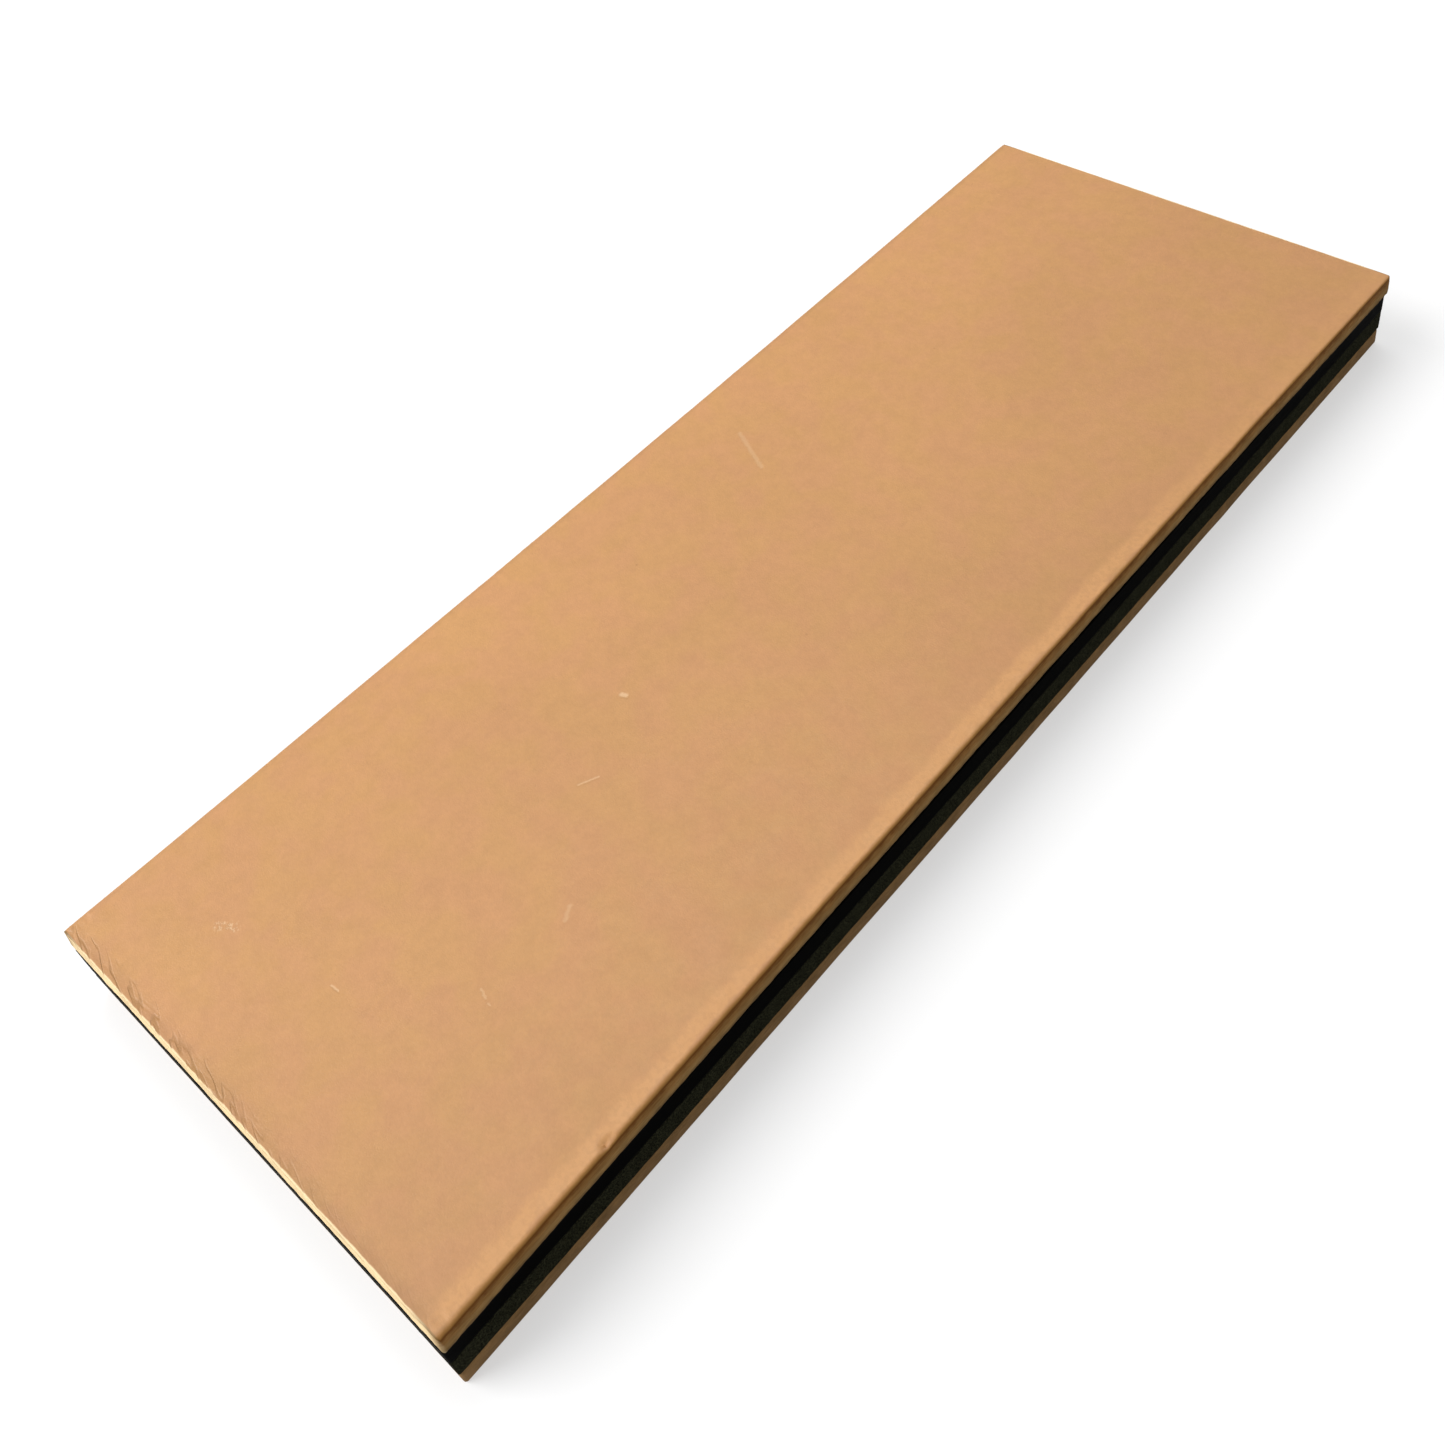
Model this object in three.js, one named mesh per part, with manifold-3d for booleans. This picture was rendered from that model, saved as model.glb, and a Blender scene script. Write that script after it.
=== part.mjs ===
// A double-sided bench strop for edge tools: four flat layers bonded face to face.
// From the top down they are a smooth leather, a black backing board, a dark grey core
// board and a second leather, with a film of adhesive in each of the three joints.
// Millimetres. +Z is up, +Y runs along the strop, and the origin is the centre of the
// underside, where the strop rests on the bench.

import * as THREE from 'three';
import { mergeVertices } from 'three/addons/utils/BufferGeometryUtils.js';
import Module from 'manifold-3d';

const wasm = await Module();
wasm.setup();

// Driving dimensions.
const LENGTH = 205;
const WIDTH = 75;
const TOP_LEATHER_THICKNESS = 3.9;
const BACKING_THICKNESS = 3.4;
const CORE_THICKNESS = 3.7;
const BOTTOM_LEATHER_THICKNESS = 3;
const ADHESIVE_THICKNESS = 0.1;

// The top leather is as long as the boards and a little wider. Its long edges draw in
// towards mid-length, where they are flush with the boards.
const SIDE_OVERHANG = 0.5;

// The edge of each leather's outer face is rolled over all round. The leathers have
// square corners, and the boards' corners are just broken.
const EDGE_ROLL = 0.6;
const BOARD_CORNER_RADIUS = 0.3;

// The adhesive stops short of the edges of the boards.
const ADHESIVE_SETBACK = 1;

// Facets in an edge roll, in each curved long edge, and in each corner of a board.
const ROLL_SEGMENTS = 4;
const LONG_EDGE_SEGMENTS = 8;
const CORNER_SEGMENTS = 2;

const BOARD_WIDTH = WIDTH - 2 * SIDE_OVERHANG;

const MATERIALS = {
  topLeather: { color: 0xd6a878, roughness: 0.5, metalness: 0 },
  bottomLeather: { color: 0xb98f62, roughness: 0.85, metalness: 0 },
  backing: { color: 0x0b0b0b, roughness: 0.4, metalness: 0 },
  core: { color: 0x2a2a24, roughness: 0.9, metalness: 0 },
  adhesive: { color: 0xc9b98a, roughness: 0.6, metalness: 0 },
};

// A rectangle centred on the origin, with round corners.
function roundedOutline(width, length, radius) {
  const x = width / 2 - radius;
  const y = length / 2 - radius;
  const shape = new THREE.Shape();
  shape.absarc(x, -y, radius, -Math.PI / 2, 0);
  shape.absarc(x, y, radius, 0, Math.PI / 2);
  shape.absarc(-x, y, radius, Math.PI / 2, Math.PI);
  shape.absarc(-x, -y, radius, Math.PI, 1.5 * Math.PI);
  return shape;
}

// A rectangle centred on the origin, with square corners. Each long side is a shallow
// curve that comes in by `waist` at mid-length.
function waistedOutline(width, length, waist) {
  const x = width / 2;
  const y = length / 2;
  const control = x - 2 * waist;
  const shape = new THREE.Shape();
  shape.moveTo(-x, -y);
  shape.lineTo(x, -y);
  shape.quadraticCurveTo(control, 0, x, y);
  shape.lineTo(-x, y);
  shape.quadraticCurveTo(-control, 0, -x, -y);
  return shape;
}

function toManifold(geometry) {
  const bare = geometry.clone();
  bare.deleteAttribute('normal');
  bare.deleteAttribute('uv');
  const merged = mergeVertices(bare);
  return new wasm.Manifold(new wasm.Mesh({
    numProp: 3,
    vertProperties: new Float32Array(merged.attributes.position.array),
    triVerts: new Uint32Array(merged.index.array),
  }));
}

function toGeometry(manifold) {
  const mesh = manifold.getMesh();
  const geometry = new THREE.BufferGeometry();
  geometry.setAttribute('position', new THREE.BufferAttribute(mesh.vertProperties, 3));
  geometry.setIndex(new THREE.BufferAttribute(mesh.triVerts, 1));
  geometry.computeVertexNormals();
  return geometry;
}

// A board or a film with square edges. Its underside is at z = 0.
function squareSheet(width, length, thickness) {
  return new THREE.ExtrudeGeometry(roundedOutline(width, length, BOARD_CORNER_RADIUS), {
    depth: thickness,
    bevelEnabled: false,
    curveSegments: CORNER_SEGMENTS,
  });
}

// A leather with the edge of its upper face rolled over and its lower edge knife-cut. Its
// underside is at z = 0. It starts as a sheet of double thickness with both faces rolled,
// and the lower half is cut away.
function rolledSheet(outline, thickness) {
  const doubled = new THREE.ExtrudeGeometry(outline, {
    depth: 2 * (thickness - EDGE_ROLL),
    bevelEnabled: true,
    bevelThickness: EDGE_ROLL,
    bevelSize: EDGE_ROLL,
    bevelOffset: -EDGE_ROLL,
    bevelSegments: ROLL_SEGMENTS,
    curveSegments: LONG_EDGE_SEGMENTS,
  });
  doubled.translate(0, 0, EDGE_ROLL - thickness);

  const lowerHalf = new THREE.BoxGeometry(2 * WIDTH, 2 * LENGTH, 2 * thickness);
  lowerHalf.translate(0, 0, -thickness);
  return toGeometry(toManifold(doubled).subtract(toManifold(lowerHalf)));
}

function makeTopLeather() {
  const outline = waistedOutline(WIDTH, LENGTH, SIDE_OVERHANG);
  return rolledSheet(outline, TOP_LEATHER_THICKNESS);
}

// The rolled edge of the lower leather is turned down, towards the bench.
function makeBottomLeather() {
  const outline = waistedOutline(BOARD_WIDTH, LENGTH, 0);
  const sheet = rolledSheet(outline, BOTTOM_LEATHER_THICKNESS);
  sheet.rotateX(Math.PI);
  sheet.translate(0, 0, BOTTOM_LEATHER_THICKNESS);
  return sheet;
}

function makeBoard(thickness) {
  return squareSheet(BOARD_WIDTH, LENGTH, thickness);
}

function makeAdhesiveFilm() {
  return squareSheet(
    BOARD_WIDTH - 2 * ADHESIVE_SETBACK,
    LENGTH - 2 * ADHESIVE_SETBACK,
    ADHESIVE_THICKNESS,
  );
}

const strop = new THREE.Group();
let height = 0;

// Lays the next sheet on top of the stack.
function stack(name, geometry, thickness, finish) {
  const mesh = new THREE.Mesh(geometry, new THREE.MeshStandardMaterial(finish));
  mesh.name = name;
  mesh.position.z = height;
  strop.add(mesh);
  height += thickness;
}

function stackAdhesive(name) {
  stack(name, makeAdhesiveFilm(), ADHESIVE_THICKNESS, MATERIALS.adhesive);
}

stack('bottom_leather', makeBottomLeather(), BOTTOM_LEATHER_THICKNESS,
  MATERIALS.bottomLeather);
stackAdhesive('bottom_adhesive_film');
stack('grey_core_board', makeBoard(CORE_THICKNESS), CORE_THICKNESS, MATERIALS.core);
stackAdhesive('middle_adhesive_film');
stack('black_backing_board', makeBoard(BACKING_THICKNESS), BACKING_THICKNESS,
  MATERIALS.backing);
stackAdhesive('top_adhesive_film');
stack('top_leather', makeTopLeather(), TOP_LEATHER_THICKNESS, MATERIALS.topLeather);

export default strop;
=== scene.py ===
# The looks of a double-sided leather strop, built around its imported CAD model: two hides
# glued to a black and a grey board. Blender objects are in metres in the model's frame:
# +Z is up, +Y runs along the strop, and the origin is the centre of the underside. Small
# sizes are written as millimetres times MM, and materials work in millimetres.

import math

import bpy
import numpy as np
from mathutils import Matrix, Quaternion, Vector, noise


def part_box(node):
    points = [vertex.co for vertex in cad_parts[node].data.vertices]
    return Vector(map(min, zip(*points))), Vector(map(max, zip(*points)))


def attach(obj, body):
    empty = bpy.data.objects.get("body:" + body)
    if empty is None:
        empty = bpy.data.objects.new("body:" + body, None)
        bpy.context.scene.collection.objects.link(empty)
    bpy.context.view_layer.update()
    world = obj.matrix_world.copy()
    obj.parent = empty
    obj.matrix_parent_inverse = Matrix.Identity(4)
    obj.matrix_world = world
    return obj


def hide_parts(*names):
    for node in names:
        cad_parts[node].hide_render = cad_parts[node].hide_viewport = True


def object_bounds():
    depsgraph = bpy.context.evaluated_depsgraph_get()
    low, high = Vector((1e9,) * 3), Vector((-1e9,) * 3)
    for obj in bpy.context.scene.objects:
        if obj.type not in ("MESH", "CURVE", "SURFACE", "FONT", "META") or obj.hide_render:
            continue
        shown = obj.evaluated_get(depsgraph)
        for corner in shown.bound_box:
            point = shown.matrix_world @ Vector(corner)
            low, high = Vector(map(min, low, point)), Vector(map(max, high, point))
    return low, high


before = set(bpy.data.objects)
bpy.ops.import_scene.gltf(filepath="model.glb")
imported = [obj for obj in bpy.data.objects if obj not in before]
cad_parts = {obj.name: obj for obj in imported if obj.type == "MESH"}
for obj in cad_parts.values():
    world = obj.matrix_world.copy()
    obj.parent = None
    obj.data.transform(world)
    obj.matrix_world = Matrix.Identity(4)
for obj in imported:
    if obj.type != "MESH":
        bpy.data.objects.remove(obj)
cad_low, cad_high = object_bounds()

MM = 0.001
STROP_LENGTH = cad_high.y - cad_low.y
STROP_WIDTH = cad_high.x - cad_low.x
STROP_TOP = cad_high.z
HALF_LENGTH_MM = STROP_LENGTH / 2 / MM
HALF_WIDTH_MM = STROP_WIDTH / 2 / MM
WAIST = 0.5 * MM  # how far the top leather's long edges draw in at mid-length
CREASE_TILT = 0.3  # slope of the near end's creases, towards the end from left to right


# ---------------------------------------------------------------- mesh tools

EDGE_BAND = 4 * MM       # width of the finely divided band inside each edge of a hide
EDGE_STEP = 0.13 * MM    # spacing of the grid in that band
ROLL_ROWS = 8            # rows of faces over a rolled edge
ROLL_TAPER = 0.3         # share by which a long edge's roll tightens from middle to far end
EDGE_WANDER = 0.1 * MM   # how far a hide's long edges wander in
WANDER_SIZE = 22 * MM    # length of their wanderings
RING_HEIGHT = 0.22 * MM  # height of the rings of faces round a side
BOARD_STEP = 0.5 * MM    # length of the edges round a board
CORNER_STEPS = 4         # edges round each corner of a board
SHARP_ANGLE = 50         # degrees between faces, above which an edge looks sharp


def noise_at(x, y, z, size, octaves=1):
    """Smooth noise between about -1 and 1, with features of the given size."""
    x, y, z = np.broadcast_arrays(x, y, z)
    points = np.stack([x, y, z], -1).reshape(-1, 3) / size
    values = [noise.fractal(Vector(point), 1.0, 2.0, octaves) for point in points]
    return np.array(values).reshape(x.shape)


def grid_lines(half, roll_width, step):
    """Grid positions from -half to half, closest together over the rolled edges."""
    turn = np.linspace(math.pi / 2, 0, ROLL_ROWS + 1)
    rolled = roll_width * (1 - np.sin(turn))
    band = np.arange(roll_width + EDGE_STEP, EDGE_BAND, EDGE_STEP)
    edge = half - np.concatenate([rolled, band])
    middle = np.linspace(-edge[-1], edge[-1], math.ceil(2 * edge[-1] / step) + 1)
    return np.concatenate([-edge, middle[1:-1], edge[::-1]])


def round_corners(x, y, half_x, half_y, radius):
    """Bends the square corners of a grid round to a radius."""
    across = np.maximum(np.abs(x) - (half_x - radius), 0)
    along = np.maximum(np.abs(y) - (half_y - radius), 0)
    in_corner = (across > 0) & (along > 0)
    reach = np.where(in_corner, np.hypot(across, along), 1)
    scale = np.where(in_corner, np.maximum(across, along) / reach, 1)
    round_x = np.sign(x) * (np.minimum(np.abs(x), half_x - radius) + across * scale)
    round_y = np.sign(y) * (np.minimum(np.abs(y), half_y - radius) + along * scale)
    return round_x, round_y


def outward(loop):
    """Unit vectors that point out of a closed anticlockwise loop of (x, y) points."""
    along = np.roll(loop, -1, axis=0) - np.roll(loop, 1, axis=0)
    out = np.stack([along[:, 1], -along[:, 0]], -1)
    return out / np.linalg.norm(out, axis=1, keepdims=True)


def wall_faces(upper, lower):
    """Quads that face out, between two closed rings of vertex numbers."""
    return np.stack([upper, lower, np.roll(lower, -1), np.roll(upper, -1)], -1).tolist()


def add_piece(name, node, points, faces, materials, material_of=None):
    """A closed mesh, smooth except at its sharp edges, that stands in for a CAD node."""
    mesh = bpy.data.meshes.new(name)
    mesh.from_pydata(points.tolist(), [], faces)
    mesh.update()
    mesh.shade_smooth()
    mesh.set_sharp_from_angle(angle=math.radians(SHARP_ANGLE))
    for material in materials:
        mesh.materials.append(material)
    if material_of is not None:
        mesh.polygons.foreach_set("material_index", material_of)
    piece = bpy.data.objects.new(name, mesh)
    bpy.context.scene.collection.objects.link(piece)
    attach(piece, "root")
    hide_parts(node)
    return piece


def edge_roll(distance, size, tightness=0.0):
    """Drop of a rolled edge at a distance inside it. size is the roll's width and depth,
    and tightness is the share by which both are smaller."""
    width, depth = size
    inside = np.clip(1 - distance / (width * (1 - tightness)), 0, 1)
    return depth * (1 - tightness) * (1 - np.sqrt(1 - inside**2))


def add_hide(name, node, face_up, face_step, corner, side_roll, end_roll, end_slope, waist,
             inset, shape_face, shape_side, materials):
    """A hide that stands in for a CAD node: a worked face with rolled edges, knife-cut
    sides and a flat glued back.

    face_up      True if the worked face is on top
    face_step    spacing of the face's grid
    corner       radius of the cut corners
    side_roll    width and depth of the roll on the long edges, and end_roll on the ends
    end_slope    how far the cut ends lean out between the face and the back
    waist        how far the long edges draw in at mid-length
    inset        how far the hide stops short of the CAD solid's sides
    shape_face   height to add to the face, from x, y and the distances to side and end
    shape_side   how far the cut side stands out, from x, y, height and share of depth
    materials    for the face and for the cut sides
    """
    low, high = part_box(node)
    half_x = (high.x - low.x) / 2 - inset
    half_y = (high.y - low.y) / 2 - inset - end_slope
    thickness = high.z - low.z

    x, y = np.meshgrid(grid_lines(half_x, side_roll[0], face_step),
                       grid_lines(half_y, end_roll[0], face_step))
    from_side = half_x - np.abs(x)
    from_end = half_y - np.abs(y)
    x, y = round_corners(x, y, half_x, half_y, corner)
    wander = EDGE_WANDER * np.abs(noise_at(np.sign(x), y, 0, WANDER_SIZE, 2))
    x = x * (1 - (waist * (1 - (y / half_y) ** 2) + wander) / half_x)

    tightness = ROLL_TAPER * y / half_y
    drop = np.hypot(edge_roll(from_side, side_roll, tightness), edge_roll(from_end, end_roll))
    height = thickness - drop + shape_face(x, y, from_side, from_end)

    rows, columns = x.shape
    numbers = np.arange(rows * columns).reshape(rows, columns)
    rim = np.concatenate(
        [numbers[0, :], numbers[1:, -1], numbers[-1, -2::-1], numbers[-2:0:-1, 0]])
    corners = [numbers[:-1, :-1], numbers[:-1, 1:], numbers[1:, 1:], numbers[1:, :-1]]
    face_quads = np.stack(corners, -1).reshape(-1, 4).tolist()

    face_points = np.stack([x, y, height], -1).reshape(-1, 3)
    edge = face_points[rim]
    out = outward(edge[:, :2])
    points = [face_points]
    faces = list(face_quads)
    upper = rim
    rings = math.ceil(thickness / RING_HEIGHT)
    for ring in range(1, rings + 1):
        share = ring / rings
        level = edge[:, 2] * (1 - share)
        bulge = shape_side(edge[:, 0], edge[:, 1], level, share)
        lean = [1, 1 + end_slope * share / half_y]
        points.append(np.column_stack([edge[:, :2] * lean + out * bulge[:, None], level]))
        lower = rows * columns + (ring - 1) * len(rim) + np.arange(len(rim))
        faces += wall_faces(upper, lower)
        upper = lower
    faces.append(upper[::-1].tolist())

    points = np.concatenate(points)
    if face_up:
        points[:, 2] = low.z + points[:, 2]
    else:
        points[:, 2] = high.z - points[:, 2]
        faces = [face[::-1] for face in faces]
    material_of = np.ones(len(faces), np.int32)
    material_of[: len(face_quads)] = 0
    return add_piece(name, node, points, faces, materials, material_of)


def board_outline(half_x, half_y, radius):
    """An anticlockwise rectangle with round corners, as closely spaced (x, y) points."""
    loop = []
    for quarter, (side_x, side_y) in enumerate([(1, -1), (1, 1), (-1, 1), (-1, -1)]):
        start = math.radians(90 * quarter - 90)
        centre = np.array([side_x * (half_x - radius), side_y * (half_y - radius)])
        for step in range(CORNER_STEPS + 1):
            angle = start + math.radians(90) * step / CORNER_STEPS
            loop.append(centre + radius * np.array([math.cos(angle), math.sin(angle)]))
        heading = start + math.pi
        forward = np.array([math.cos(heading), math.sin(heading)])
        straight = 2 * ((half_x if quarter % 2 else half_y) - radius)
        count = math.ceil(straight / BOARD_STEP)
        corner_end = loop[-1]
        loop += [corner_end + forward * straight * k / count for k in range(1, count)]
    return np.array(loop)


def add_board(name, node, corner, arris, shape_side, material):
    """A sawn board that stands in for a CAD node. corner is the radius of its corners, and
    arris is how far its sharp edges are broken."""
    low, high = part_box(node)
    loop = board_outline((high.x - low.x) / 2, (high.y - low.y) / 2, corner)
    out = outward(loop)
    rings = math.ceil((high.z - low.z - 2 * arris) / RING_HEIGHT)
    levels = np.linspace(low.z + arris, high.z - arris, rings + 1)
    levels = np.concatenate([[low.z], levels, [high.z]])

    points = []
    faces = []
    lower = None
    for ring, level in enumerate(levels):
        bulge = shape_side(loop[:, 0], loop[:, 1], level)
        if level in (low.z, high.z):
            bulge = bulge - arris
        points.append(np.column_stack([loop + out * bulge[:, None], np.full(len(loop), level)]))
        upper = ring * len(loop) + np.arange(len(loop))
        if lower is None:
            faces.append(upper[::-1].tolist())
        else:
            faces += wall_faces(upper, lower)
        lower = upper
    faces.append(lower.tolist())
    return add_piece(name, node, np.concatenate(points), faces, [material])


# ---------------------------------------------------------------- material tools


class Shader:
    """A material's node tree, built one node at a time. Lengths are in millimetres."""

    def __init__(self, name):
        self.material = bpy.data.materials.new(name)
        self.material.use_nodes = True
        self.tree = self.material.node_tree
        self.tree.nodes.clear()
        place = self.add("ShaderNodeTexCoord").outputs["Object"]
        self.position = self.vector("SCALE", place, scale=1 / MM)
        self.x, self.y, self.z = self.add("ShaderNodeSeparateXYZ", {0: self.position}).outputs

    def add(self, kind, inputs=None, **settings):
        """Adds a node. Each input is a plain value or another node's output."""
        node = self.tree.nodes.new(kind)
        for key, value in settings.items():
            setattr(node, key, value)
        for key, value in (inputs or {}).items():
            if isinstance(value, bpy.types.NodeSocket):
                self.tree.links.new(value, node.inputs[key])
            else:
                node.inputs[key].default_value = value
        return node

    def vector(self, operation, first, second=None, scale=None):
        """A vector operation. Only "SCALE" takes a scale."""
        inputs = {0: first}
        if second is not None:
            inputs[1] = second
        if scale is not None:
            inputs[3] = scale
        node = self.add("ShaderNodeVectorMath", inputs, operation=operation)
        is_number = operation in ("DOT_PRODUCT", "LENGTH")
        return node.outputs["Value" if is_number else "Vector"]

    def math(self, operation, first, second=0.0):
        """An operation on numbers."""
        inputs = {0: first, 1: second}
        return self.add("ShaderNodeMath", inputs, operation=operation).outputs[0]

    def product(self, first, *others):
        """The values multiplied together."""
        result = first
        for other in others:
            result = self.math("MULTIPLY", result, other)
        return result

    def total(self, *terms):
        """Sum of (value, weight) pairs."""
        result = 0.0
        for value, weight in terms:
            inputs = {0: value, 1: weight, 2: result}
            result = self.add("ShaderNodeMath", inputs, operation="MULTIPLY_ADD").outputs[0]
        return result

    def noise(self, size, detail=2.0, roughness=0.5, stretch=(1, 1, 1), distortion=0.0,
              place=None):
        """Noise between 0 and 1 with features about size across, times the stretch. It is
        taken at the shaded point, or at another place, which isn't stretched."""
        if place is None:
            place = self.vector("MULTIPLY", self.position, [1 / s for s in stretch])
        inputs = {
            "Vector": place, "Scale": 1 / size, "Detail": detail,
            "Roughness": roughness, "Distortion": distortion,
        }
        return self.add("ShaderNodeTexNoise", inputs).outputs["Fac"]

    def cells(self, size, feature="F1"):
        """Distance to the nearest of some scattered points, or to the nearest cell wall, as
        a share of size."""
        inputs = {"Vector": self.position, "Scale": 1 / size}
        return self.add("ShaderNodeTexVoronoi", inputs, feature=feature).outputs["Distance"]

    def between(self, value, low, high, out_low=0.0, out_high=1.0):
        """Goes smoothly from out_low to out_high as value goes from low to high."""
        inputs = {
            "Value": value, "From Min": low, "From Max": high,
            "To Min": out_low, "To Max": out_high,
        }
        node = self.add("ShaderNodeMapRange", inputs, interpolation_type="SMOOTHSTEP")
        return node.outputs["Result"]

    def falling(self, value, start, end):
        """Goes smoothly from 1 to 0 as value goes from start to end."""
        return self.between(value, start, end, 1.0, 0.0)

    def mix(self, factor, first, second):
        """Goes from the first colour to the second as factor goes from 0 to 1."""
        node = self.add("ShaderNodeMix", data_type="RGBA")
        for key, value in ((0, factor), (6, first), (7, second)):
            if isinstance(value, bpy.types.NodeSocket):
                self.tree.links.new(value, node.inputs[key])
            else:
                node.inputs[key].default_value = (*value, 1)
        return node.outputs[2]

    def mottle(self, color, spread, size, **settings):
        """Makes a colour lighter and darker by a share, in patches of the given size."""
        grey = self.between(self.noise(size, **settings), 0.25, 0.75, 1 - spread, 1 + spread)
        return self.vector("SCALE", color, scale=grey)

    def steepness(self):
        """0 on level ground, 1 where the surface stands upright."""
        normal = self.add("ShaderNodeNewGeometry").outputs["Normal"]
        rise = self.add("ShaderNodeSeparateXYZ", {0: normal}).outputs[2]
        return self.total((self.math("ABSOLUTE", rise), -1), (1.0, 1))

    def near_line(self, place, start, end, width):
        """1 on a straight line from start to end on the face, and 0 beyond its width."""
        way = Vector((end[0] - start[0], end[1] - start[1], 0))
        offset = self.vector("SUBTRACT", place, (*start, 0))
        share = self.vector("DOT_PRODUCT", offset, way / way.length_squared)
        share = self.add("ShaderNodeClamp", {"Value": share}).outputs[0]
        nearest = self.vector("SCALE", way, scale=share)
        distance = self.vector("LENGTH", self.vector("SUBTRACT", offset, nearest))
        return self.falling(distance, 0.1 * width, 0.6 * width)

    def from_end(self):
        """Distance inside the nearer of the two ends."""
        return self.math("SUBTRACT", HALF_LENGTH_MM, self.math("ABSOLUTE", self.y))

    def from_long_edge(self):
        """Distance inside the long edges of the top leather, which draw in at mid-length."""
        along = self.math("MULTIPLY", self.y, 1 / HALF_LENGTH_MM)
        waist = self.total((self.math("MULTIPLY", along, along), -WAIST / MM))
        half = HALF_WIDTH_MM - WAIST / MM
        return self.total((self.math("ABSOLUTE", self.x), -1), (waist, -1), (1.0, half))

    def finish(self, color, roughness, relief, specular=0.5, sheen=0.0):
        """Ends the material and returns it. relief is a height in millimetres."""
        bump = self.add("ShaderNodeBump", {"Height": relief, "Distance": MM})
        inputs = {
            "Base Color": color, "Roughness": roughness, "Normal": bump.outputs["Normal"],
            "Specular IOR Level": specular, "Sheen Weight": sheen, "Sheen Roughness": 0.5,
        }
        surface = self.add("ShaderNodeBsdfPrincipled", inputs)
        self.add("ShaderNodeOutputMaterial", {"Surface": surface.outputs[0]})
        return self.material


# ---------------------------------------------------------------- materials

# Colours are linear red, green and blue.
TAN_YELLOW = (0.468, 0.242, 0.091)
TAN_PINK = (0.472, 0.235, 0.098)
# Pale band along the right-hand edge: painted highlight and rubbed wear.
SHEEN_AND_RUBBED = (0.507, 0.260, 0.101)
SCUFFED = (0.66, 0.43, 0.24)
# Brown of the rolled edges, also used as painted shade in creases and beside scratches.
ROLL_AND_SHADE = (0.30, 0.145, 0.040)
# Dark burnish brown, partly painted shade; also the specks' colour.
BURNISH_AND_SHADE = (0.120, 0.044, 0.006)
# Browns of the long cut sides: burnish colour, darkened further by painted shade.
SIDE_BROWN = (0.185, 0.090, 0.025)
SIDE_KHAKI = (0.205, 0.118, 0.040)
# Painted shade at the foot of the top hide's cut side, where it meets the black board.
SIDE_FOOT_SHADE = (0.120, 0.072, 0.028)
END_CREAM = (0.76, 0.58, 0.33)
UNDER_BROWN = (0.195, 0.112, 0.045)
UNDER_KHAKI = (0.225, 0.134, 0.060)
FLESH_PALE = (0.40, 0.25, 0.13)
FLESH_DARK = (0.345, 0.212, 0.107)
BLACK = (0.0003, 0.0003, 0.0003)
BLACK_SCRAPED = (0.0016, 0.0016, 0.0015)
# Painted shade in the grey board's hollows.
GREY_HOLLOW_SHADE = (0.002, 0.002, 0.001)
GREY_GRAIN = (0.029, 0.029, 0.016)
GLUE_DARK = (0.30, 0.22, 0.10)
GLUE_PALE = (0.55, 0.45, 0.25)

# The floor's paper and the room's white also have an alpha.
PAPER = (0.9, 0.9, 0.9, 1)
WHITE = (1, 1, 1, 1)

# Painted light falloff: how much paler the hide is painted per millimetre across and along it,
# which darkens it towards the right and the far end.
LIGHT_FALLOFF_ACROSS = -0.0024
LIGHT_FALLOFF_ALONG = -0.0001

# The hide's mottles: share lighter and darker, size in millimetres, and detail.
MOTTLES = ((0.025, 24, 1), (0.03, 2.4, 3), (0.03, 0.5, 2))

# Marks on the honing face, in millimetres from its centre: start, end, width, strength.
SCRATCHES = (
    ((-26.2, 15.3), (-18.4, 11.5), 0.9, 0.30),
    ((0.6, -46.6), (1.9, -44.0), 0.35, 0.45),
    ((13.5, -61.2), (12.6, -59.5), 0.8, 0.30),
    ((12.0, -73.7), (13.3, -74.2), 0.4, 0.35),
    ((14.1, -74.4), (14.4, -74.4), 0.35, 0.35),
    ((-2.9, -84.8), (-1.7, -84.8), 0.35, 0.55),
    ((-5.1, -32.6), (-4.5, -32.4), 0.9, 0.75),
)
ROUGH_PATCH = ((-21.2, -88.9), (-19.3, -87.8), 1.8)
SCRATCH_SHADOW = (0.22, -0.16, 0)  # from a scratch to its shaded side

# Sizes and depths of the honing face's fine relief, in millimetres.
PORE_SIZE, PORE_DEPTH = 0.42, 0.006
GRAIN_SIZE, GRAIN_DEPTH = 1.4, 0.03
FUZZ_SIZE, FUZZ_DEPTH = 0.18, 0.01
SPECK_SPACING, SPECK_DEPTH = 8, 0.02
SCRATCH_DEPTH = 0.04
CREASE_DEPTH = 0.05

# How dark the honing face's specks are, how dark the painted shade is in its creases and beside
# its scratches, and how bright its darker borders are.
SPECK_SHADE = 0.15
SCRATCH_SHADE = 0.4
CREASE_SHADE = 0.55
BORDER_BRIGHTNESS = 0.88

CREASES_PER_MM = 0.9
CREASE_STRETCH = 5  # length of the creases along the end, as a multiple of their spacing


def sheen_and_rubbed_band(s, inside, wander):
    """A ragged pale band of painted highlight and rubbed wear just inside the right-hand edge,
    fainter towards the far end.
    """
    ragged = s.total((inside, 1), (wander, 2.5))
    flecks = s.between(s.noise(0.6, detail=3), 0.35, 0.65, 0.6, 1.2)
    on_right = s.between(s.x, -1.0, 1.0)
    fade = s.between(s.y, 0.0, 80.0, 1.0, 0.3)
    return s.product(s.between(ragged, 1.4, 2.3), s.falling(ragged, 3.1, 4.7), flecks,
                     on_right, fade)


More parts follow.
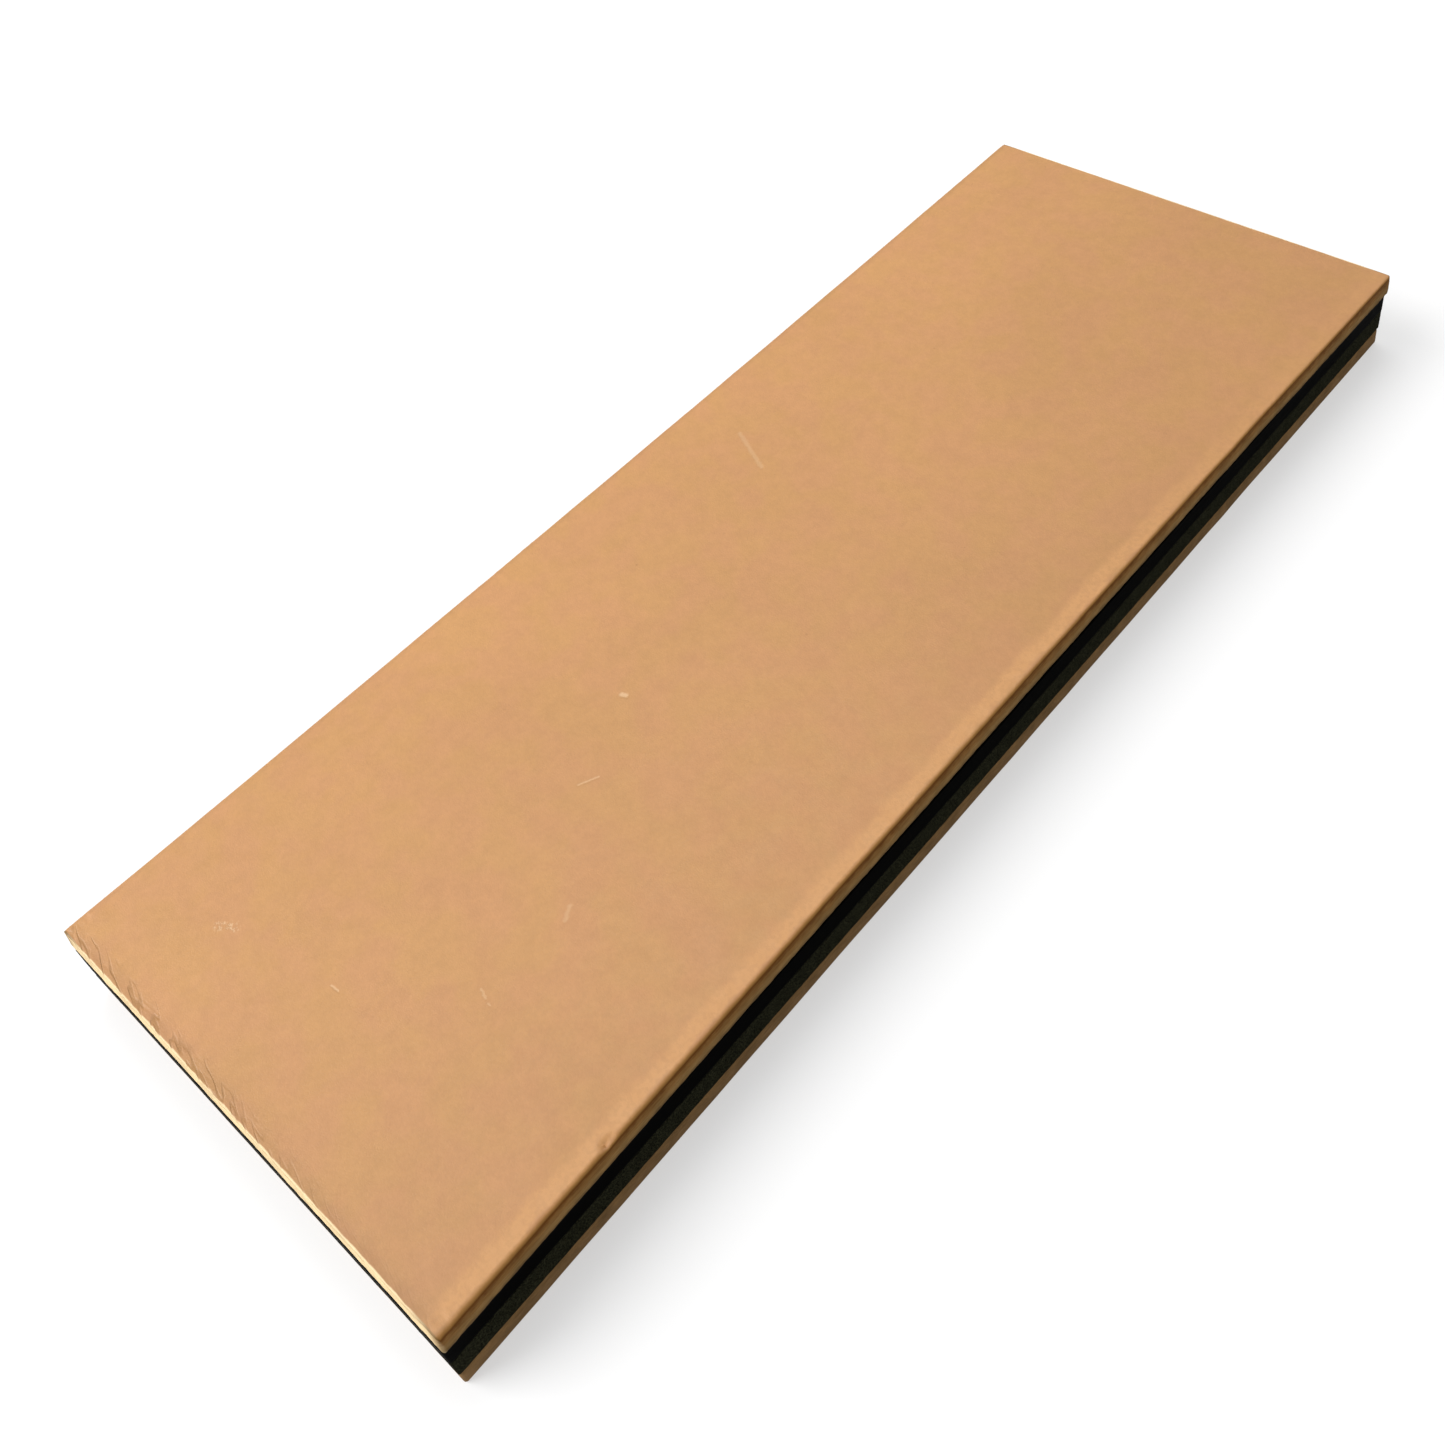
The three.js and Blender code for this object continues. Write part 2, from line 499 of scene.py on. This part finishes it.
def darker_border(s, inside, from_near_end, wander):
    """Where the face is darker, along the near end and the left-hand edge."""
    near_end = s.falling(s.total((from_near_end, 1), (wander, 3)), 2.0, 5.0)
    from_left = s.total((inside, 1), (s.between(s.x, -1.0, 1.0), 9))
    return s.math("MAXIMUM", near_end, s.falling(from_left, 0.0, 1.6))


def end_creases(s, from_near_end, wander):
    """Fine slanting lines along the near end, fewer towards the right."""
    slant = s.total((from_near_end, 1), (s.x, CREASE_TILT))
    drawn_out = s.math("MULTIPLY", s.x, 1 / CREASE_STRETCH)
    place = s.add("ShaderNodeCombineXYZ", {0: drawn_out, 1: slant}).outputs[0]
    field = s.noise(1 / CREASES_PER_MM, detail=1, place=place)
    lines = s.falling(s.math("ABSOLUTE", s.math("SUBTRACT", field, 0.5)), 0.01, 0.07)
    zone = s.falling(s.total((from_near_end, 1), (wander, 3)), 2.6, 4.2)
    return s.product(zone, s.between(s.x, -10.0, 25.0, 1.0, 0.2), lines)


def scratch_marks(s):
    """The scratches with the rough patch, and the shaded sides of the scratches."""
    flat = s.vector("MULTIPLY", s.position, (1, 1, 0))
    jitter = s.total((s.noise(0.7), 0.4), (1.0, -0.2))
    jitter = s.add("ShaderNodeCombineXYZ", {0: jitter, 1: jitter}).outputs[0]
    place = s.vector("ADD", flat, jitter)
    beside = s.vector("SUBTRACT", place, SCRATCH_SHADOW)
    pale = 0.0
    dark = 0.0
    for start, end, width, strength in SCRATCHES:
        line = s.near_line(place, start, end, width)
        pale = s.math("MAXIMUM", pale, s.math("MULTIPLY", line, strength))
        line = s.near_line(beside, start, end, width)
        dark = s.math("MAXIMUM", dark, s.math("MULTIPLY", line, strength))
    flecks = s.between(s.noise(0.5, detail=4, roughness=0.7), 0.50, 0.62, 0.0, 0.8)
    patch = s.math("MULTIPLY", s.near_line(place, *ROUGH_PATCH), flecks)
    return s.math("MAXIMUM", pale, patch), dark


def grain_leather():
    """The honing face: smooth vegetable-tanned hide with fine pores, a soft mottle, a few
    specks and scratches, rolled edges darkened brown by burnish and painted shade, and raw cut
    fibre at its ends."""
    s = Shader("grain_leather")
    inside = s.from_long_edge()
    from_near_end = s.total((s.y, 1), (1.0, HALF_LENGTH_MM))
    wander = s.noise(4, detail=3)

    color = s.mix(s.between(s.noise(7, detail=3), 0.36, 0.64), TAN_YELLOW, TAN_PINK)
    # Painted light falloff, darker towards the right and the far end.
    painted_falloff = s.total((s.x, LIGHT_FALLOFF_ACROSS), (s.y, LIGHT_FALLOFF_ALONG), (1.0, 1))
    color = s.vector("SCALE", color, scale=painted_falloff)
    for spread, size, detail in MOTTLES:
        color = s.mottle(color, spread, size, detail=detail)

    specks = s.falling(s.cells(SPECK_SPACING), 0.015, 0.035)
    color = s.mix(s.math("MULTIPLY", specks, SPECK_SHADE), color, BURNISH_AND_SHADE)
    # Painted highlight, with rubbed wear: a pale band along the right-hand edge.
    color = s.mix(sheen_and_rubbed_band(s, inside, wander), color, SHEEN_AND_RUBBED)
    # A darker border along the near end and the left-hand edge.
    dark_border = darker_border(s, inside, from_near_end, wander)
    light = s.between(dark_border, 0.0, 1.0, 1.0, BORDER_BRIGHTNESS)
    color = s.vector("SCALE", color, scale=light)
    # Creases: bumped, with painted shade darkening them.
    creases = end_creases(s, from_near_end, wander)
    color = s.mix(s.math("MULTIPLY", creases, CREASE_SHADE), color, ROLL_AND_SHADE)
    scratches, shadows = scratch_marks(s)
    # Painted shade on the shaded sides of the scratches.
    color = s.mix(s.math("MULTIPLY", shadows, SCRATCH_SHADE), color, ROLL_AND_SHADE)
    color = s.mix(scratches, color, SCUFFED)

    # The face darkens to brown where it turns down: partly burnish, partly painted shade over
    # the rolled edges, nicks and creases.
    steep = s.total((s.steepness(), 1), (s.noise(1.5), 0.12))
    color = s.mix(s.between(steep, 0.12, 0.45), color, ROLL_AND_SHADE)
    foot = s.between(steep, 0.4, 0.8)
    color = s.mix(foot, color, BURNISH_AND_SHADE)
    raw = s.total((s.from_end(), 1), (s.noise(2.5, detail=4), 0.3), (creases, 0.10))
    raw_color = s.mix(s.between(inside, 0.5, 6.0), SIDE_KHAKI, END_CREAM)
    color = s.mix(s.falling(raw, 0.58, 0.76), color, raw_color)

    pores = s.between(s.cells(PORE_SIZE, "DISTANCE_TO_EDGE"), 0.0, 0.25)
    relief = s.total(
        (pores, PORE_DEPTH), (s.noise(GRAIN_SIZE, detail=3), GRAIN_DEPTH),
        (s.noise(FUZZ_SIZE), FUZZ_DEPTH), (specks, -SPECK_DEPTH),
        (scratches, -SCRATCH_DEPTH), (creases, -CREASE_DEPTH))
    roughness = s.between(s.noise(3.5, detail=3), 0.3, 0.7, 0.40, 0.52)
    roughness = s.total((roughness, 1), (foot, 0.3))
    gloss = s.between(steep, 0.06, 0.3, 0.40, 0.05)
    return s.finish(color, roughness, relief, specular=gloss)


def cut_leather(name, grain_z, flesh_z, layers, raw_end):
    """The knife-cut side of a hide between two heights: layers of fibre along the long
    edges, and another colour at the ends, which fades at the corners. Each layer takes over
    from the one before it as the share of the way from grain to flesh goes from its start
    to its end. The fibres make that share ragged, and raise it by about 0.3."""
    s = Shader(name)
    depth = s.between(s.z, grain_z / MM, flesh_z / MM)
    fibres = s.noise(0.9, detail=4, roughness=0.6, stretch=(2.4, 2.4, 0.2))
    ragged = s.total((depth, 1), (s.noise(1.2), 0.35), (fibres, 0.25))
    color = layers[0][2]
    for start, end, layer in layers[1:]:
        color = s.mix(s.between(ragged, start, end), color, layer)

    at_end = s.falling(s.total((s.from_end(), 1), (s.noise(0.8), 0.4)), 0.45, 0.85)
    off_corner = s.between(s.from_long_edge(), 0.0, 2.5, 0.25, 1.0)
    color = s.mix(s.math("MULTIPLY", at_end, off_corner), color, raw_end)
    color = s.mottle(color, 0.12, 3.0, detail=2)
    color = s.mottle(color, 0.16, 0.9, detail=4, stretch=(2.4, 2.4, 0.2))
    relief = s.total((fibres, 0.08), (s.noise(0.15), 0.025))
    return s.finish(color, 0.85, relief, specular=0.05)


def flesh_leather():
    """The napped flesh side of a hide, brushed lengthways."""
    s = Shader("flesh_leather")
    nap = s.noise(0.4, detail=5, roughness=0.7, stretch=(0.7, 2.5, 1), distortion=0.8)
    color = s.mix(s.between(s.noise(11, detail=3), 0.35, 0.65), FLESH_DARK, FLESH_PALE)
    color = s.mottle(color, 0.08, 2.5, detail=3)
    color = s.mottle(color, 0.2, 0.4, detail=5, stretch=(0.7, 2.5, 1), distortion=0.8)
    return s.finish(color, 0.95, s.total((nap, 0.12)), specular=0.1, sheen=0.25)


def black_board():
    """Even black sheet. Its edge is sawn, scraped smooth and a little worn at the arris."""
    s = Shader("black_board")
    scrape = s.noise(0.5, stretch=(6, 6, 0.4))
    color = s.mix(s.between(scrape, 0.3, 0.75), BLACK, BLACK_SCRAPED)
    roughness = s.between(scrape, 0.2, 0.8, 0.42, 0.6)
    return s.finish(color, roughness, s.total((scrape, 0.015)), specular=0.003)


def grey_board():
    """Dark charcoal board with a granular sawn edge."""
    s = Shader("grey_board")
    grains = s.noise(0.2, detail=2, roughness=0.7)
    # Painted shade darkens the hollows between the grains, over the grains' own speckle.
    color = s.mix(s.between(grains, 0.34, 0.70), GREY_HOLLOW_SHADE, GREY_GRAIN)
    color = s.mottle(color, 0.15, 1.6)
    return s.finish(color, 0.95, s.total((grains, 0.08)), specular=0.01)


def dried_adhesive():
    """Thin amber film of dried contact adhesive."""
    s = Shader("dried_adhesive")
    beads = s.noise(0.8)
    color = s.mix(beads, GLUE_DARK, GLUE_PALE)
    return s.finish(color, 0.4, s.total((beads, 0.05)))


# ---------------------------------------------------------------- pieces

# Nicks in the right-hand long edge: place along the strop and depth, in millimetres.
NICKS = ((-77.3, 0.50), (-76.3, 0.36))
NICK_INSIDE = 0.6 * MM  # from the edge to the middle of a nick
NICK_ACROSS = 0.5 * MM
NICK_ALONG = 0.38 * MM


def crease_lines(along, across, seed, size):
    """Depth, from 0 to 1, of short broken lines that slant away from an edge. size is the
    distance between them."""
    tilted = across + CREASE_TILT * along
    field = noise_at(along / 4, tilted, seed, size, 2)
    patches = np.clip(1 + 3 * noise_at(along, across, seed + 1, 7 * MM), 0, 1)
    return np.exp(-(field / 0.12) ** 2) * patches


def band(distance, start, end, fade):
    """1 between two distances from an edge, falling to 0 over a further distance."""
    rise = np.clip((distance - start + fade) / fade, 0, 1)
    fall = np.clip((end + fade - distance) / fade, 0, 1)
    return rise * fall


def shape_grain_face(x, y, from_side, from_end):
    """The hide falls away gently before its rolled edges. Its near end is creased, its long
    edges are rippled in places, and the right-hand one has two nicks."""
    fall = 0.06 * MM * np.clip(1 - from_side / (2.5 * MM), 0, 1) ** 2
    fall += 0.05 * MM * np.clip(1 - from_end / (2.5 * MM), 0, 1) ** 2
    flat = np.clip(np.minimum(from_side, from_end) / (1 * MM), 0, 1)
    swell = 0.04 * MM * (noise_at(x, y, 0, 34 * MM, 2) - 1) * flat
    creases = crease_lines(x, from_end, 3, 0.7 * MM)
    creases = creases * band(from_end, 0.3 * MM, 1.5 * MM, 0.4 * MM)
    creases = creases * np.clip(0.6 - x / (30 * MM), 0, 1) * (y < 0)
    ripples = noise_at(y, from_side / 3, 8 * np.sign(x), 0.9 * MM, 2)
    rippled = np.clip(4 * noise_at(y, np.sign(x), 5, 16 * MM), 0, 1)
    rippled = rippled * band(from_side, 0.3 * MM, 1.6 * MM, 0.6 * MM)
    nicks = 0.0
    for nick_y, nick_depth in NICKS:
        across = (from_side - NICK_INSIDE) / NICK_ACROSS
        along = (y - nick_y * MM) / NICK_ALONG
        nicks = nicks + nick_depth * MM * np.exp(-np.hypot(across, along) ** 2) * (x > 0)
    return swell - fall - 0.09 * MM * creases + 0.06 * MM * ripples * rippled - nicks


def shape_flesh_face(x, y, from_side, from_end):
    """Shallow pits left where the flesh side was shaved."""
    flat = np.clip(np.minimum(from_side, from_end) / (1 * MM), 0, 1)
    return -0.07 * MM * flat * np.abs(noise_at(x, y, 3, 4 * MM, 3))


def shape_cut_side(x, y, level, share):
    """Layers of fibre that get looser towards the back, where the edge tucks in."""
    layers = 0.03 * MM * noise_at(x, y, 5 * level, 2.4 * MM, 3)
    loose = 0.06 * MM * share**2 * noise_at(x, y, level, 0.8 * MM, 2)
    tuck = 0.22 * MM * share**10
    return layers + loose - tuck


def shape_sawn_side(x, y, level):
    """Shallow waves left by the saw, drawn out from top to bottom."""
    return 0.015 * MM * (noise_at(x, y, 0.3 * level, 1.5 * MM, 2) - 1)


def shape_granular_side(x, y, level):
    """The crumbly cut of a granular board."""
    return 0.035 * MM * (noise_at(x, y, level, 0.7 * MM, 2) - 1)


def add_top_leather():
    low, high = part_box("top_leather")
    # The long sides' browns are burnish colour darkened further by painted shade; the ends stay
    # raw cream.
    layers = (
        (0.0, 0.0, BURNISH_AND_SHADE),
        (0.22, 0.50, SIDE_BROWN),
        (0.55, 0.90, SIDE_KHAKI),
        # Painted shade where the hide meets the black board.
        (1.08, 1.25, SIDE_FOOT_SHADE),
    )
    cut = cut_leather("top_cut", high.z - 0.6 * MM, low.z, layers, END_CREAM)
    hide = add_hide(
        "top_leather_hide", "top_leather", face_up=True, face_step=0.6 * MM,
        corner=0.4 * MM, side_roll=(0.6 * MM, 0.6 * MM), end_roll=(0.12 * MM, 0.1 * MM),
        end_slope=0.35 * MM, waist=WAIST, inset=0, shape_face=shape_grain_face,
        shape_side=shape_cut_side, materials=[grain_leather(), cut],
    )


def add_bottom_leather():
    low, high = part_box("bottom_leather")
    layers = ((0.0, 0.0, UNDER_BROWN), (0.5, 1.0, UNDER_KHAKI))
    cut = cut_leather("bottom_cut", high.z, low.z, layers, UNDER_KHAKI)
    hide = add_hide(
        "bottom_leather_hide", "bottom_leather", face_up=False, face_step=0.9 * MM,
        corner=0.4 * MM, side_roll=(0.3 * MM, 0.25 * MM), end_roll=(0.3 * MM, 0.25 * MM),
        end_slope=0, waist=0, inset=0.1 * MM, shape_face=shape_flesh_face,
        shape_side=shape_cut_side, materials=[flesh_leather(), cut],
    )


def add_boards():
    corner = 0.3 * MM
    arris = 0.06 * MM
    black = add_board("black_backing_sheet", "black_backing_board", corner, arris,
                      shape_sawn_side, black_board())
    grey = add_board("grey_core_sheet", "grey_core_board", corner, arris,
                     shape_granular_side, grey_board())


def finish_adhesive():
    adhesive = dried_adhesive()
    for node in ("top_adhesive_film", "middle_adhesive_film", "bottom_adhesive_film"):
        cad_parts[node].material_slots[0].material = adhesive


# ---------------------------------------------------------------- stage

FLOOR_HALF = 6.0                 # half the floor's side, in metres
FLOOR_LEVEL = -0.05 * MM
SHADOW_GLOW = 0.5                # the floor's glow near the strop, towards the camera
GLOW_START, GLOW_END = 200, 700  # between where the glow grows to 1, in millimetres
ROOM_LIGHT = 0.45                # strength of the white room, which the camera sees at 1

# The camera, fitted to the strop's edges in the photo. Its angles are in degrees.
SENSOR_WIDTH = 36              # millimetres
LENS = 40                      # millimetres
CAMERA_PLACE = (46.58, 47.46)  # azimuth and elevation, seen from the middle of the face
CAMERA_DISTANCE = 1.128 * STROP_LENGTH
CAMERA_AXIS = (49.81, 43.44)   # azimuth and elevation of the direction opposite its aim
CAMERA_ROLL = -10.96
CAMERA_SHIFT = -0.1792         # share of the frame's width


def from_angles(azimuth, elevation):
    """Unit vector towards a viewer, from angles in degrees. Azimuth 0 is out from the near
    end (-Y) and 90 is out from the right-hand long side (+X)."""
    a = math.radians(azimuth)
    e = math.radians(elevation)
    return Vector((math.sin(a) * math.cos(e), -math.cos(a) * math.cos(e), math.sin(e)))


def add_floor():
    """A plain pale floor, just under the strop."""
    mesh = bpy.data.meshes.new("floor")
    signs = [(-1, -1), (1, -1), (1, 1), (-1, 1)]
    corners = [(x * FLOOR_HALF, y * FLOOR_HALF, FLOOR_LEVEL) for x, y in signs]
    mesh.from_pydata(corners, [], [(0, 1, 2, 3)])
    floor = bpy.data.objects.new("floor", mesh)
    bpy.context.scene.collection.objects.link(floor)
    mesh.materials.append(white_sweep())


def white_sweep():
    """Pale matt paper. It glows towards the camera, by half near the strop, so that the
    strop's shadow looks light, and fully far from it, so that it looks plain white."""
    s = Shader("white_sweep")
    paper = s.add("ShaderNodeBsdfDiffuse", {"Color": PAPER}).outputs[0]
    glow = s.add("ShaderNodeEmission", {"Color": WHITE}).outputs[0]
    seen = s.add("ShaderNodeLightPath").outputs["Is Camera Ray"]
    distance = s.vector("LENGTH", s.position)
    glow_share = s.between(distance, GLOW_START, GLOW_END, SHADOW_GLOW, 1.0)
    glowing = s.math("MULTIPLY", glow_share, seen)
    surface = s.add("ShaderNodeMixShader", {0: glowing, 1: paper, 2: glow}).outputs[0]
    s.add("ShaderNodeOutputMaterial", {"Surface": surface})
    return s.material


def add_area_light(name, azimuth, elevation, distance, size, power):
    """A square soft light that faces the strop."""
    light = bpy.data.lights.new(name, "AREA")
    light.size = size
    light.energy = power
    lamp = bpy.data.objects.new(name, light)
    lamp.location = from_angles(azimuth, elevation) * distance
    lamp.rotation_mode = "QUATERNION"
    lamp.rotation_quaternion = (-lamp.location).to_track_quat("-Z", "Y")
    bpy.context.scene.collection.objects.link(lamp)


def add_lights():
    """A window to the left of the near end, a softer light over the far end, and a dim
    room that looks white behind the floor."""
    add_area_light("window", azimuth=-42, elevation=42, distance=3, size=2.2, power=100)
    add_area_light("ceiling", azimuth=220, elevation=72, distance=2.5, size=1.2, power=18)
    world = bpy.data.worlds.new("room")
    world.use_nodes = True
    tree = world.node_tree
    seen = tree.nodes.new("ShaderNodeLightPath").outputs["Is Camera Ray"]
    strength = tree.nodes.new("ShaderNodeMapRange")
    strength.inputs["To Min"].default_value = ROOM_LIGHT
    strength.inputs["To Max"].default_value = 1.0
    tree.links.new(seen, strength.inputs["Value"])
    tree.links.new(strength.outputs[0], tree.nodes["Background"].inputs["Strength"])
    tree.nodes["Background"].inputs["Color"].default_value = WHITE
    bpy.context.scene.world = world


def add_camera():
    """The camera looks down from beyond the near right corner, rolled to one side. Its
    frame is off the lens axis, which a shifted lens reproduces."""
    data = bpy.data.cameras.new("camera")
    data.sensor_width = SENSOR_WIDTH
    data.lens = LENS
    data.clip_start = 0.01
    camera = bpy.data.objects.new("camera", data)
    top_centre = Vector((0, 0, STROP_TOP))
    camera.location = top_centre + from_angles(*CAMERA_PLACE) * CAMERA_DISTANCE
    aim = -from_angles(*CAMERA_AXIS)
    roll = Quaternion((0, 0, 1), math.radians(CAMERA_ROLL))
    camera.rotation_mode = "QUATERNION"
    camera.rotation_quaternion = aim.to_track_quat("-Z", "Y") @ roll
    bpy.context.scene.collection.objects.link(camera)
    bpy.context.scene.camera = camera
    shift_from_here_only(camera, CAMERA_SHIFT)


def shift_from_here_only(camera, shift):
    """Shifts the lens while the camera is within a millimetre of where it is now, along X.
    When it is moved round the strop for another view, its lens is centred again."""
    curve = camera.data.driver_add("shift_y")
    curve.modifiers.remove(curve.modifiers[0])  # it would stand in for the steps below
    curve.extrapolation = "CONSTANT"
    curve.driver.type = "AVERAGE"
    place = curve.driver.variables.new()
    place.type = "TRANSFORMS"
    place.targets[0].id = camera
    place.targets[0].transform_type = "LOC_X"
    here = camera.location.x
    steps = ((here - 2 * MM, 0), (here - MM, shift), (here + MM, 0))
    curve.keyframe_points.add(len(steps))
    for key, step in zip(curve.keyframe_points, steps):
        key.co = step
        key.interpolation = "CONSTANT"


add_top_leather()
add_boards()
add_bottom_leather()
finish_adhesive()
add_floor()
add_lights()
add_camera()
bpy.context.scene.view_settings.view_transform = "Standard"
